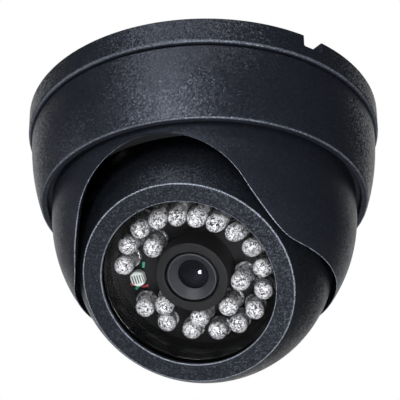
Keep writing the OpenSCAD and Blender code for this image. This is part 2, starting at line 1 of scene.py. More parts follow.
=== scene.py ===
"""Ceiling dome camera: its finished pieces and their materials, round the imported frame."""

import math

import bmesh
import bpy
from mathutils import Matrix, Vector


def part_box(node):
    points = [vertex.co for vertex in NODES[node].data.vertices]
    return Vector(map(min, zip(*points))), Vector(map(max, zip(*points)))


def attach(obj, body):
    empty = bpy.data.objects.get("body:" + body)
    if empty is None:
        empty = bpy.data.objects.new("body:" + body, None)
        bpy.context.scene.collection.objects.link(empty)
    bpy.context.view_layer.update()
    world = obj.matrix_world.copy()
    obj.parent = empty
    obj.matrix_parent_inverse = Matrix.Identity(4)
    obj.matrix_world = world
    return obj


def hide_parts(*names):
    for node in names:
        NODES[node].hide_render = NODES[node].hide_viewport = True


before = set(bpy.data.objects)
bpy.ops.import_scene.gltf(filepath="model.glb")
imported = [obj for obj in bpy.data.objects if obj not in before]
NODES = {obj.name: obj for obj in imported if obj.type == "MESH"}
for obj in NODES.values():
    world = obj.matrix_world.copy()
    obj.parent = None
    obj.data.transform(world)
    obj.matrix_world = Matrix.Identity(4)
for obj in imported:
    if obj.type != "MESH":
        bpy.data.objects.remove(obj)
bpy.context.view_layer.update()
MM = 0.001

# ---------------------------------------------------------------- sizes, in mm


def low_z(node):
    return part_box(node)[0].z / MM


def high_z(node):
    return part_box(node)[1].z / MM


def half_x(node):
    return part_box(node)[1].x / MM


# down the camera's axis
BASE_R = half_x("mounting_base")
BASE_H = 7.1
PLATE_T = 2.6
RIM_WALL = 2.4
RING_TOP = high_z("locking_ring")
RING_LOW = low_z("locking_ring")
RING_BULGE = 58.0
BULGE_Z = RING_LOW + 18.2
FLANGE_R = half_x("dome_cover")
FLANGE_TOP = high_z("dome_cover")
FLANGE_LOW = FLANGE_TOP - 2.0
NECK_H = 5.3
COVER_Z = FLANGE_LOW - NECK_H
COVER_R = FLANGE_R - 2.2
COVER_IN = COVER_R - 2.0
OPEN_R = 33.53
RING_R = FLANGE_R + 3.8
RING_IN = RING_R - 2.7
COLLAR_R = RING_IN - 2.7
COLLAR_IN = COLLAR_R - 2.2
COLLAR_LOW = -22.4
LIP_TOP = RING_LOW + 2.0
LIP_IN = COVER_R + 1.2
LUG_TOP = RING_TOP - 6.6
LUG_T = 2.1
LUG_ANGLE = 30.0
STOP_ANGLE = 3.0
SCREW_CIRCLE_R = 30.0
SCREW_HOLE_R = 2.25
CABLE_HOLE_R = 7.0
NOTCH_AT, NOTCH_W, NOTCH_H = 57.0, 6.0, 3.5
# arch of the dome cover
ARCH_R, ARCH_TOP, ARCH_FLARE = 23.5, 29.6, math.radians(20)
# ball, its view along its own +Z
TILT = 51.2
BALL_Z = COVER_Z - 10.2
BALL_R = 34.0
IN_R = BALL_R - 2.2
FLAT_X = 32.1
CAVITY_X = FLAT_X - 1.9
SPLIT = -6.0
FACE_Z = 20.53
FACE_R = math.sqrt(BALL_R**2 - FACE_Z**2)
OPENING_R = FACE_R - 4.8
WINDOW_R = OPENING_R + 1.6
SEAL_TOP = FACE_Z - 1.0
WINDOW_TOP = SEAL_TOP - 0.5
WINDOW_LOW = WINDOW_TOP - 1.6
LED_TIP = WINDOW_LOW - 0.9
LIGHT_R, LIGHT_FOOT_R, LIGHT_H = 2.5, 2.9, 8.6
BOARD_Z = LED_TIP - LIGHT_H
POST_R = WINDOW_R + 2.6
FLANGE_OUT = POST_R + 2.2
SHANK_R = 1.05
OUTER_RING = OPENING_R - 1.6 - LIGHT_FOOT_R
LENS_FRONT = WINDOW_LOW - 1.5
LENS_LOW = LENS_FRONT - 15.3
HEAD_R, HEAD_L, THREAD_R = 6.4, 3.4, 6.0
GLASS_R, CONE = 4.0, 1.8
BOOT_IN = HEAD_R + 0.5
BOOT_R = BOOT_IN + 2.5
INNER_RING = BOOT_R + LIGHT_FOOT_R + 0.1
CELL_AT = OUTER_RING - 1.5
CELL_R = 2.1
FINGER_PITCH, FINGER_HALF = 0.68, 1.1
LIGHT_STEP = 2 * math.degrees(math.asin((LIGHT_FOOT_R + 0.05) / OUTER_RING))
PLACES, WIDE_GAPS = 18, 4
WIDE_STEP = (360 - (PLACES - WIDE_GAPS) * LIGHT_STEP) / WIDE_GAPS


def light_angle(i):
    close = PLACES - WIDE_GAPS
    return 180 - min(i, close) * LIGHT_STEP - max(i - close, 0) * WIDE_STEP


OUTER_ANGLES = [light_angle(i) for i in range(1, PLACES)]
# the inner lights stand in every second gap of the outer ones, but for the bare upper right
GAP_ANGLES = [(light_angle(2 * i) + light_angle(2 * i + 1)) / 2 for i in range(1, PLACES // 2)]
BARE_AT = 60
INNER_ANGLES = [a for a in GAP_ANGLES if abs(a - BARE_AT) > 60]

THIRDS = (0, 120, 240)
FIRST_SCREW_AT = 90
SHELL_STEPS, PANE_STEPS, LENS_STEPS = 192, 128, 96

UPRIGHT = Matrix.Identity(4)
IN_BALL = (Matrix.Translation((0, 0, BALL_Z * MM))
           @ Matrix.Rotation(math.radians(90 + TILT), 4, "X"))

# ---------------------------------------------------------------- camera

AIM = Vector((0, 0, -24.86)) * MM
CAMERA_DISTANCE = 0.4659
CAMERA_UP = math.radians(30.74)
CAMERA_ROUND = math.radians(20.17)
CAMERA_YAW = math.radians(-0.14)
CAMERA_ROLL = math.radians(-0.79)


def make_camera():
    data = bpy.data.cameras.new("studio_camera")
    data.lens = 158.4
    data.sensor_width = 36
    data.clip_start, data.clip_end = 0.01, 20
    ob = bpy.data.objects.new("studio_camera", data)
    bpy.context.scene.collection.objects.link(ob)
    forward = Vector((0, math.cos(CAMERA_UP), math.sin(CAMERA_UP)))
    right = Vector((1, 0, 0))
    up = right.cross(forward)
    back = -forward * CAMERA_DISTANCE
    forward, right = (
        forward * math.cos(CAMERA_YAW) + right * math.sin(CAMERA_YAW),
        right * math.cos(CAMERA_YAW) - forward * math.sin(CAMERA_YAW),
    )
    right, up = (
        right * math.cos(CAMERA_ROLL) + up * math.sin(CAMERA_ROLL),
        up * math.cos(CAMERA_ROLL) - right * math.sin(CAMERA_ROLL),
    )
    turn = Matrix.Rotation(CAMERA_ROUND, 4, "Z")
    aim = Matrix((right, up, -forward)).transposed().to_4x4()
    aim.translation = back
    ob.matrix_world = Matrix.Translation(AIM) @ turn @ aim
    bpy.context.scene.camera = ob
    return ob


AWAY = make_camera().matrix_world.to_3x3() @ Vector((0, 0, -1))
ROOM_LIGHT, BACKDROP_LIGHT = 0.03, 0.85
BACKDROP_FROM, BACKDROP_FULL = 0.6, 0.95
LAMP_DISTANCE = 0.9
FLOOR_Z, FLOOR_HALF = -0.9, 4

# ---------------------------------------------------------------- materials


def linear(code):
    """A colour from its sRGB hex code."""
    out = []
    for i in (0, 2, 4):
        c = int(code[i : i + 2], 16) / 255
        out.append(c / 12.92 if c <= 0.04045 else ((c + 0.055) / 1.055) ** 2.4)
    return (*out, 1.0)


def add(tree, kind, settings=None, values=None, links=None):
    """Adds a node with its settings, its values and the sockets that feed it."""
    n = tree.nodes.new("ShaderNode" + kind)
    for key, value in (settings or {}).items():
        setattr(n, key, value)
    for key, value in (values or {}).items():
        n.inputs[key].default_value = value
    for key, socket in (links or {}).items():
        tree.links.new(socket, n.inputs[key])
    return n


def new_material(name):
    m = bpy.data.materials.new(name)
    m.use_nodes = True
    m.node_tree.nodes.clear()
    return m, m.node_tree


def finish_material(tree, shader):
    add(tree, "OutputMaterial", links={"Surface": shader})


def moulded_abs(name, tone, grain_mm, tilt, rough, gloss=0.5):
    """Matt injection-moulded ABS. The mould was spark eroded, so the skin is a crowd of tiny
    facets: each mirrors the lamps its own way, and some glint where a lamp is mirrored. A
    lighter tone is painted in specks along the moulded edges: a painted edge highlight. The
    real facets are about 0.1 mm; they are drawn larger, or they would not show."""
    m, t = new_material(name)
    place = add(t, "TexCoord")
    at = place.outputs["Object"]
    cells = add(t, "TexVoronoi", values={"Scale": 1 / (grain_mm * MM), "Randomness": 1.0},
                links={"Vector": at})
    grain = add(t, "TexNoise",
                values={"Scale": 1 / (0.6 * grain_mm * MM), "Detail": 2.0, "Roughness": 0.6},
                links={"Vector": at})
    cloud = add(t, "TexNoise", values={"Scale": 1 / (8 * MM), "Detail": 3.0}, links={"Vector": at})
    # each facet leans its own way
    lean = add(t, "VectorMath", {"operation": "SUBTRACT"}, {1: (0.5, 0.5, 0.5)},
               {0: cells.outputs["Color"]})
    tilted = add(t, "VectorMath", {"operation": "MULTIPLY_ADD"}, {1: (tilt, tilt, tilt)},
                 {0: lean.outputs[0], 2: add(t, "NewGeometry").outputs["Normal"]})
    facet = add(t, "VectorMath", {"operation": "NORMALIZE"}, links={0: tilted.outputs[0]})
    skin = add(t, "Bump", values={"Strength": 1.0, "Distance": 0.03 * MM},
               links={"Height": grain.outputs["Fac"], "Normal": facet.outputs[0]})
    # painted edge highlight: a lighter tone painted on the edges, in specks
    edge = add(t, "Attribute", {"attribute_name": "painted_edge_highlight"})
    speck = add(t, "MapRange", values={"From Min": 0.40, "From Max": 0.58},
                links={"Value": grain.outputs["Fac"]})
    lit_edge = add(t, "Math", {"operation": "MULTIPLY", "use_clamp": True},
               links={0: edge.outputs["Fac"], 1: speck.outputs["Result"]})
    shade = add(t, "Mix", {"data_type": "RGBA"}, {6: linear(tone[0]), 7: linear(tone[1])},
                {0: speck.outputs["Result"]})
    with_edge_highlight = add(t, "Mix", {"data_type": "RGBA"}, {7: linear(tone[2])},
                {0: lit_edge.outputs[0], 6: shade.outputs[2]})
    dull = add(t, "MapRange", values={"From Min": 0.3, "From Max": 0.7, "To Min": rough - 0.03,
               "To Max": rough + 0.05}, links={"Value": cloud.outputs["Fac"]})
    body = add(t, "BsdfPrincipled", values={"IOR": 1.53, "Specular IOR Level": gloss,
               "Specular Tint": linear("DCE4FA")},
               links={"Base Color": with_edge_highlight.outputs[2], "Roughness": dull.outputs["Result"],
                      "Normal": skin.outputs["Normal"]})
    finish_material(t, body.outputs[0])
    return m


def plain(name, code, rough, bump_mm, depth, metallic=0.0, ior=1.5):
    """One even material with a fine surface pattern, and a tone and a gloss that vary a little,
    as they do on any handled part. The pattern is bump_mm wide and depth mm deep."""
    m, t = new_material(name)
    at = add(t, "TexCoord").outputs["Object"]
    wear = add(t, "TexNoise", values={"Scale": 1 / (2.5 * MM), "Detail": 4.0},
               links={"Vector": at})
    base, spread = linear(code), 0.12
    lower = tuple(c * (1 - spread) for c in base[:3]) + (1.0,)
    upper = tuple(min(1.0, c * (1 + spread)) for c in base[:3]) + (1.0,)
    shade = add(t, "Mix", {"data_type": "RGBA"}, {6: lower, 7: upper}, {0: wear.outputs["Fac"]})
    values = {"Metallic": metallic}
    if not metallic:
        values["IOR"] = ior
    dull = add(t, "MapRange", values={"To Min": max(0.02, rough - 0.06), "To Max": rough + 0.06},
               links={"Value": wear.outputs["Fac"]})
    grain = add(t, "TexNoise", values={"Scale": 1 / (bump_mm * MM), "Detail": 2.0},
                links={"Vector": at})
    skin = add(t, "Bump", values={"Distance": depth * MM}, links={"Height": grain.outputs["Fac"]})
    body = add(t, "BsdfPrincipled", values=values,
               links={"Base Color": shade.outputs[2], "Roughness": dull.outputs["Result"],
                      "Normal": skin.outputs["Normal"]})
    finish_material(t, body.outputs[0])
    return m


def glancing(t, ior):
    """How much a clear piece reflects: little head on, more at glancing angles, and the same from
    either side, so that no ray is shut in where it goes straight through."""
    straight = ((ior - 1) / (ior + 1)) ** 2
    side = add(t, "LayerWeight", values={"Blend": 0.5})
    rise = add(t, "Math", {"operation": "POWER"}, {1: 5.0}, {0: side.outputs["Facing"]})
    edge = add(t, "MapRange", values={"To Min": straight, "To Max": 1.0},
               links={"Value": rise.outputs[0]})
    return edge.outputs["Result"]


def see_through(name, code, ior, bloom, rough):
    """A clear piece that shows what is behind it, tinted by its code, with a sheen of the bloom's
    colour at glancing angles. Cast acrylic is polished, so its sheen is thin. Ground optical
    glass has a bloom that cuts the reflection to a faint violet, so it looks nearly black in
    front of the dark barrel, with a small sharp lamp glint."""
    m, t = new_material(name)
    edge = glancing(t, ior)
    through = add(t, "BsdfTransparent", values={"Color": linear(code)})
    sheen = add(t, "BsdfGlossy", values={"Color": linear(bloom), "Roughness": rough})
    both = add(t, "MixShader", links={0: edge, 1: through.outputs[0], 2: sheen.outputs[0]})
    finish_material(t, both.outputs[0])
    return m


def light_epoxy(name):
    """Clear cast epoxy of a light. The crackle of glints that its curved skin would draw out of
    the bright metal cup inside is painted into its colour as painted reflections: grey and
    broken down the sides, dense and white in the dome at the tip."""
    m, t = new_material(name)
    place = add(t, "TexCoord")
    at = place.outputs["Object"]
    axis = IN_BALL.to_3x3() @ Vector((0, 0, 1))
    up = add(t, "VectorMath", {"operation": "DOT_PRODUCT"}, {1: axis}, {0: at})
    low, high = ((IN_BALL @ Vector((0, 0, (LED_TIP - below) * MM))).dot(axis)
                 for below in (4.2, 1.5))
    # painted highlight: the painted glints turn dense and white towards the tip
    dome = add(t, "MapRange", {"interpolation_type": "SMOOTHSTEP"},
               {"From Min": low, "From Max": high}, {"Value": up.outputs["Value"]})
    crackle = add(t, "TexNoise", values={"Scale": 1 / (0.65 * MM), "Detail": 3.0, "Roughness": 0.8,
                  "Distortion": 1.2}, links={"Vector": at})
    bands = add(t, "TexNoise", values={"Scale": 1 / (1.9 * MM), "Detail": 1.0},
                links={"Vector": at})
    glint = add(t, "MapRange", values={"From Min": 0.44, "From Max": 0.54},
                links={"Value": crackle.outputs["Fac"]})
    side = add(t, "MapRange",
               values={"From Min": 0.40, "From Max": 0.60, "To Min": 0.25, "To Max": 0.9},
               links={"Value": bands.outputs["Fac"]})
    reach = add(t, "Mix", {"data_type": "FLOAT"}, {3: 1.0},
                {0: dome.outputs["Result"], 2: side.outputs["Result"]})
    painted_shine = add(t, "Math", {"operation": "MULTIPLY"},
                links={0: glint.outputs["Result"], 1: reach.outputs[0]})
    shade = add(t, "Mix", {"data_type": "RGBA"}, {6: linear("3E4147"), 7: linear("FFFFFF")},
                {0: painted_shine.outputs[0]})
    # the painted glints hide what is behind them, and between them the epoxy is partly clear
    solid = add(t, "MapRange", values={"To Min": 0.55, "To Max": 1.0},
                links={"Value": glint.outputs["Result"]})
    clear = add(t, "BsdfPrincipled", values={"Base Color": linear("E9EDF2"), "Roughness": 0.02,
                "IOR": 1.5, "Transmission Weight": 1.0})
    white = add(t, "BsdfPrincipled", values={"Roughness": 0.12, "IOR": 1.5, "Coat Weight": 1.0,
                "Coat Roughness": 0.03}, links={"Base Color": shade.outputs[2]})
    both = add(t, "MixShader", links={0: solid.outputs["Result"], 1: clear.outputs[0],
               2: white.outputs[0]})
    finish_material(t, both.outputs[0])
    return m


def photocell_face(name):
    """Sintered cadmium sulphide under lacquer: a pale disc with dark fingers across it."""
    m, t = new_material(name)
    place = add(t, "TexCoord")
    middle = IN_BALL @ Vector((-CELL_AT * MM, 0, 0))
    turned = add(t, "Mapping", {"vector_type": "TEXTURE"},
                 {"Location": middle, "Rotation": IN_BALL.to_euler()},
                 {"Vector": place.outputs["Object"]})
    sides = add(t, "SeparateXYZ", links={0: turned.outputs[0]})
    # fingers along Y, across the middle of the disc
    turns = add(t, "Math", {"operation": "MULTIPLY"}, {1: 2 * math.pi / (FINGER_PITCH * MM)},
                {0: sides.outputs[0]})
    wave = add(t, "Math", {"operation": "SINE"}, links={0: turns.outputs[0]})
    across = add(t, "Math", {"operation": "ABSOLUTE"}, links={0: sides.outputs[1]})
    inside = add(t, "Math", {"operation": "LESS_THAN"}, {1: FINGER_HALF * MM},
                 {0: across.outputs[0]})
    line = add(t, "MapRange", values={"From Min": 0.0, "From Max": 0.5},
               links={"Value": wave.outputs[0]})
    dark = add(t, "Math", {"operation": "MULTIPLY"},
               links={0: line.outputs["Result"], 1: inside.outputs[0]})
    shade = add(t, "Mix", {"data_type": "RGBA"}, {6: linear("E6EDE6"), 7: linear("1D2422")},
                {0: dark.outputs[0]})
    body = add(t, "BsdfPrincipled", values={"Roughness": 0.3, "Coat Weight": 0.4},
               links={"Base Color": shade.outputs[2]})
    finish_material(t, body.outputs[0])
    return m


# shade in the pits, shade on the peaks, tone of the painted edge highlight
TONE = ("101217", "1F222A", "A3AAB8")
# the ball is the same ABS as the rest, painted darker: painted shade over the whole ball
BALL_SHADED_TONE = ("090B0E", "14171C", "A3AAB8")
GRAIN_MM = 0.34
LOOKS = {
    "abs_base": moulded_abs("moulded_abs_base", TONE, GRAIN_MM, 0.36, 0.33),
    "abs_ring": moulded_abs("moulded_abs_ring", TONE, GRAIN_MM, 0.30, 0.33),
    "abs_cover": moulded_abs("moulded_abs_cover", TONE, GRAIN_MM, 0.17, 0.36),
    "abs_ball": moulded_abs("moulded_abs_ball", BALL_SHADED_TONE, GRAIN_MM, 0.28, 0.36, 0.4),
    "clear_acrylic": see_through("polished_acrylic", "FBFBFC", 1.15, "FFFFFF", 0.03),
    "optical_glass": see_through("coated_optical_glass", "7C8190", 1.6, "D0D4F2", 0.02),
    "clear_epoxy": light_epoxy("cast_clear_epoxy"),
    "sensor_ceramic": photocell_face("photocell_track"),
}
for slot, name, code, rough, bump_mm, depth, others in (
    ("felt", "wool_felt", "3A3C40", 0.95, 0.3, 0.15, {}),
    ("black_steel", "black_coated_steel", "1C1D1F", 0.42, 0.4, 0.03, {}),
    ("zinc_steel", "zinc_plated_steel", "B9BEC4", 0.3, 0.5, 0.01, {"metallic": 1.0}),
    ("acetal", "natural_acetal", "DAD9D0", 0.35, 0.5, 0.01, {}),
    ("soft_rubber", "black_silicone_rubber", "090A0C", 0.5, 0.35, 0.03, {"ior": 1.4}),
    ("gloss_black", "gloss_black_abs", "050607", 0.09, 1.2, 0.01, {"ior": 1.38}),
    ("circuit_board", "black_solder_mask", "07080A", 0.35, 0.6, 0.03, {"ior": 1.4}),
    ("tinned_steel", "tinned_steel", "D6D9DC", 0.2, 0.3, 0.01, {"metallic": 1.0}),
    ("brass", "turned_brass", "C9A24C", 0.28, 0.3, 0.01, {"metallic": 1.0}),
    ("black_anodised", "black_anodised_aluminium", "2C2E33", 0.52, 0.25, 0.02, {"ior": 1.6}),
    ("chip", "sensor_chip", "20242C", 0.2, 0.4, 0.005, {}),
    ("red_lacquer", "red_lacquer", "B03A44", 0.3, 0.3, 0.01, {}),
    ("green_lacquer", "green_lacquer", "3E9A78", 0.3, 0.3, 0.01, {}),
    ("nylon_white", "white_nylon", "E4E3DA", 0.4, 0.6, 0.02, {}),
):
    LOOKS[slot] = plain(name, code, rough, bump_mm, depth, **others)

for node in NODES.values():
    for place in node.material_slots:
        place.material = LOOKS[place.material.name]

# ---------------------------------------------------------------- mesh helpers


def arc(cx, cz, r, start, end, steps):
    """Points of an arc in the profile plane, from one angle to another."""
    return [
        (cx + r * math.cos(a), cz + r * math.sin(a))
        for a in (start + (end - start) * i / steps for i in range(steps + 1))
    ]


def outline(points, rounds, highlight_share=None):
    """A closed profile in the XZ plane; rounds gives the radius at each corner number, and
    highlight_share how strongly a painted edge highlight lightens that corner."""
    bm = bmesh.new()
    painted_edge_highlight = bm.verts.layers.float.new("painted_edge_highlight")
    corners = [bm.verts.new((x * MM, 0, z * MM)) for x, z in points]
    bm.faces.new(corners)
    count = len(points)
    for i, r in rounds.items():
        here, before, after = (Vector(points[k % count]) for k in (i, i - 1, i + 1))
        half = (before - here).angle(after - here) / 2
        before_cut = set(bm.verts)
        bmesh.ops.bevel(bm, geom=[corners[i]], offset=r * MM / math.tan(half), segments=5,
                        profile=0.5, affect="VERTICES", material=-1, clamp_overlap=False)
        new = set(bm.verts) - before_cut
        for v in new:
            near = [e.other_vert(v) for e in v.link_edges]
            if all(n in new and all(e.other_vert(n) in new for e in n.link_edges) for n in near):
                v[painted_edge_highlight] = (highlight_share or {}).get(i, 0.0)
    return bm


def turn(bm, steps, angle=2 * math.pi):
    """Spins a profile round Z: all the way round, or part of it with closed ends."""
    full = angle == 2 * math.pi
    if full:
        bmesh.ops.delete(bm, geom=bm.faces[:], context="FACES_ONLY")
        on_axis = [e for e in bm.edges if all(abs(v.co.x) < 1e-9 for v in e.verts)]
        bmesh.ops.delete(bm, geom=on_axis, context="EDGES")
        geom = bm.verts[:] + bm.edges[:]
    else:
        geom = bmesh.ops.duplicate(bm, geom=bm.verts[:] + bm.edges[:] + bm.faces[:])["geom"]
    bmesh.ops.spin(bm, geom=geom, cent=(0, 0, 0), axis=(0, 0, 1), angle=angle, steps=steps,
                   use_merge=full, use_normal_flip=False, use_duplicate=False)
    bmesh.ops.remove_doubles(bm, verts=bm.verts, dist=1e-7)
    bmesh.ops.recalc_face_normals(bm, faces=bm.faces)
    return bm


def join(bm, other, place=UPRIGHT):
    """Adds a second closed shell to a piece."""
    other.transform(place)
    spare = bpy.data.meshes.new("spare")
    other.to_mesh(spare)
    other.free()
    bm.from_mesh(spare)
    bpy.data.meshes.remove(spare)


def finish(bm, name, look, body, *replaced, place=UPRIGHT, sharp=34, even=True):
    """Makes the piece an object that rides on its body and stands for its CAD nodes."""
    bm.transform(place)
    for f in bm.faces:
        f.smooth = True
    for e in bm.edges:
        e.smooth = not (len(e.link_faces) == 2 and e.calc_face_angle(0) > math.radians(sharp))
    mesh = bpy.data.meshes.new(name)
    bm.to_mesh(mesh)
    bm.free()
    mesh.materials.append(LOOKS[look])
    ob = bpy.data.objects.new(name, mesh)
    bpy.context.scene.collection.objects.link(ob)
    if even:
        m = ob.modifiers.new("even_normals", "WEIGHTED_NORMAL")
        m.keep_sharp = True
    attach(ob, body)
    if replaced:
        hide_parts(*replaced)
    return ob


def carve(bm, cutters):
    """Cuts closed shapes out of a piece."""
    scene = bpy.context.scene
    mesh = bpy.data.meshes.new("blank")
    bm.to_mesh(mesh)
    bm.free()
    ob = bpy.data.objects.new("blank", mesh)
    scene.collection.objects.link(ob)
    made = []
    for c in cutters:
        cut_mesh = bpy.data.meshes.new("cutter")
        c.to_mesh(cut_mesh)
        c.free()
        cutter = bpy.data.objects.new("cutter", cut_mesh)
        scene.collection.objects.link(cutter)
        made.append(cutter)
        m = ob.modifiers.new("cut", "BOOLEAN")
        m.operation, m.solver, m.object = "DIFFERENCE", "EXACT", cutter
    bpy.context.view_layer.update()
    cut_ob = ob.evaluated_get(bpy.context.evaluated_depsgraph_get())
    result = bpy.data.meshes.new_from_object(cut_ob)
    out = bmesh.new()
    out.from_mesh(result)
    bpy.data.meshes.remove(result)
    for o in [ob, *made]:
        data = o.data
        bpy.data.objects.remove(o)
        bpy.data.meshes.remove(data)
    return out


def block(size, centre, place=UPRIGHT):
    bm = bmesh.new()
    bmesh.ops.create_cube(bm, size=1)
    bmesh.ops.scale(bm, vec=Vector(size) * MM, verts=bm.verts)
    bmesh.ops.translate(bm, vec=Vector(centre) * MM, verts=bm.verts)
    bm.transform(place)
    return bm


def drum(r, low, high, steps=48, place=UPRIGHT):
    bm = bmesh.new()
    bmesh.ops.create_cone(bm, cap_ends=True, segments=steps, radius1=r * MM, radius2=r * MM,
                          depth=(high - low) * MM)
    bmesh.ops.translate(bm, vec=(0, 0, (low + high) / 2 * MM), verts=bm.verts)
    bm.transform(place)
    return bm


def out_at(angle, r):
    """Where something r from the axis stands, turned by an angle in degrees."""
    return turned_by(angle) @ Matrix.Translation((r * MM, 0, 0))


def turned_by(angle):
    return Matrix.Rotation(math.radians(angle), 4, "Z")


def tube(r_out, r_in, low, high, steps, edge=0.0):
    bm = outline([(r_in, low), (r_out, low), (r_out, high), (r_in, high)],
                 {i: edge for i in range(4)} if edge else {})
    return turn(bm, steps)


# ---------------------------------------------------------------- mounting base


def make_base():
    # the base's lower outer edge carries a faint painted edge highlight
    shape = outline(
        [(CABLE_HOLE_R, 0), (BASE_R, 0), (BASE_R, -BASE_H), (BASE_R - RIM_WALL, -BASE_H),
         (BASE_R - RIM_WALL, -PLATE_T), (COLLAR_R, -PLATE_T), (COLLAR_R, COLLAR_LOW),
         (COLLAR_IN, COLLAR_LOW), (COLLAR_IN, -PLATE_T), (CABLE_HOLE_R, -PLATE_T)],
        {0: 0.3, 1: 0.5, 2: 0.95, 3: 0.3, 4: 0.3, 6: 0.25, 7: 0.25, 9: 0.3}, {2: 0.3})
    bm = turn(shape, SHELL_STEPS)
    screws = [out_at(FIRST_SCREW_AT + third, SCREW_CIRCLE_R) for third in THIRDS]
    holes = [drum(SCREW_HOLE_R, -PLATE_T - 2, 1, place=at) for at in screws]
    reach = BASE_R + 1 - COLLAR_R - 0.2
    notch = block((NOTCH_W, reach, NOTCH_H + 1), (0, -BASE_R - 1 + reach / 2, (1 - NOTCH_H) / 2),
                  turned_by(NOTCH_AT))
    inside = [e for e in notch.edges if all(v.co.z < 0 for v in e.verts)]
    bmesh.ops.bevel(notch, geom=inside, offset=0.4 * MM, segments=3, profile=0.5, affect="EDGES",
                    material=-1)
    bm = carve(bm, holes + [notch])
    boss_r, boss_low, boss_top = SCREW_HOLE_R + 2.2, -PLATE_T - 1.4, -PLATE_T + 0.3
    for at, third in zip(screws, THIRDS):
        boss = outline([(SCREW_HOLE_R, boss_low), (boss_r, boss_low), (boss_r, boss_top),
                        (SCREW_HOLE_R, boss_top)], {0: 0.2, 1: 0.3})
        join(bm, turn(boss, 40), at)
        # the lug that the ring turns onto, and the stop at its end
        for low, high, start, wide in (
            (LUG_TOP - LUG_T - 0.3, LUG_TOP, third, LUG_ANGLE + STOP_ANGLE),
            (LUG_TOP - 0.5, LUG_TOP + LUG_T + 0.4, third + LUG_ANGLE, STOP_ANGLE),
        ):
            lug = outline([(COLLAR_R - 0.5, low), (RING_IN - 0.4, low), (RING_IN - 0.4, high),
                           (COLLAR_R - 0.5, high)], {1: 0.25, 2: 0.25})
            join(bm, turn(lug, 12, math.radians(wide)), turned_by(start))
    # the stop of the pan
    stop_in, stop_out = COVER_IN - 2.1, COLLAR_IN + 0.8
    join(bm, block((5, stop_out - stop_in, -COLLAR_LOW - 1),
                   (0, (stop_in + stop_out) / 2, (COLLAR_LOW + 0.4) / 2)))
    finish(bm, "base_shell", "abs_base", "base", "mounting_base")


# ---------------------------------------------------------------- locking ring


def make_ring():
    centre = RING_R - RING_BULGE
    high = math.asin((RING_TOP - BULGE_Z) / RING_BULGE)
    low = math.asin((RING_LOW - BULGE_Z) / RING_BULGE)
    side = arc(centre, BULGE_Z, RING_BULGE, low, high, 14)
    pocket = FLANGE_R + 0.4
    points = side + [(RING_IN, RING_TOP), (RING_IN, LIP_TOP + 3), (pocket, LIP_TOP + 3),
                     (pocket, LIP_TOP), (LIP_IN, LIP_TOP), (LIP_IN, RING_LOW)]
    last = len(side)
    # the ring's lower outer edge carries a faint painted edge highlight
    bm = turn(outline(points, {0: 0.85, last - 1: 0.5, last: 0.4, last + 4: 0.2, last + 5: 0.5},
                      {0: 0.35}), SHELL_STEPS)
    lug_in, lug_out, lug_low = COLLAR_R + 0.4, RING_IN + 0.5, LUG_TOP + 0.1
    for third in THIRDS:
        lug = outline([(lug_in, lug_low), (lug_out, lug_low), (lug_out, lug_low + LUG_T),
                       (lug_in, lug_low + LUG_T)], {0: 0.25, 3: 0.25})
        join(bm, turn(lug, 12, math.radians(LUG_ANGLE - 0.5)), turned_by(third))
    finish(bm, "ring_shell", "abs_ring", "locking_ring_body", "locking_ring")


# ---------------------------------------------------------------- dome cover

COVER_STEPS = 288
COVER_ROWS = 34


def in_arch(x, y, z):
    """Whether a point, from the cover's own centre, lies in the arch's cut."""
    if y > -5:
        return False
    v = (z - y) * math.sqrt(0.5)
    low = ARCH_TOP - ARCH_R
    if math.hypot(x, v - low) < ARCH_R:
        return True
    top = low + ARCH_R * math.sin(ARCH_FLARE)
    return v < top and abs(x) < ARCH_R * math.cos(ARCH_FLARE) + (top - v) * math.tan(ARCH_FLARE)


def edge_height(r, angle):
    """Height of the cover's lower edge on a wall of radius r, from the cover's centre."""
    floor = -math.sqrt(r * r - OPEN_R**2)

    def cut(z):
        wide = r if z > 0 else math.sqrt(r * r - z * z)
        return in_arch(wide * math.cos(angle), wide * math.sin(angle), z)

    z, step = NECK_H, 0.5
    while z > floor and not cut(z):
        z -= step
    if z <= floor:
        return floor
    above, below = z + step, z
    for _ in range(24):
        middle = (above + below) / 2
        above, below = (above, middle) if cut(middle) else (middle, below)
    return above


def edge_table(r):
    """Edge heights round the cover. The corners where the arch meets the round opening are
    eased into one sweep."""
    table = [edge_height(r, 2 * math.pi * k / COVER_STEPS) for k in range(COVER_STEPS)]
    for _ in range(26):
        eased = list(table)
        for k in range(COVER_STEPS):
            from_front = abs(math.degrees(2 * math.pi * k / COVER_STEPS) - 270)
            share = max(0.0, min(1.0, (from_front - 36) / 8, (84 - from_front) / 8))
            if share:
                mean = (table[k - 1] + 2 * table[k] + table[(k + 1) % COVER_STEPS]) / 4
                eased[k] += share * (mean - table[k])
        table = eased
    return table


def down_wall(r, s):
    """The wall's profile: s mm below the neck's top."""
    if s <= NECK_H:
        return r, NECK_H - s
    a = (s - NECK_H) / r
    return r * math.cos(a), -r * math.sin(a)


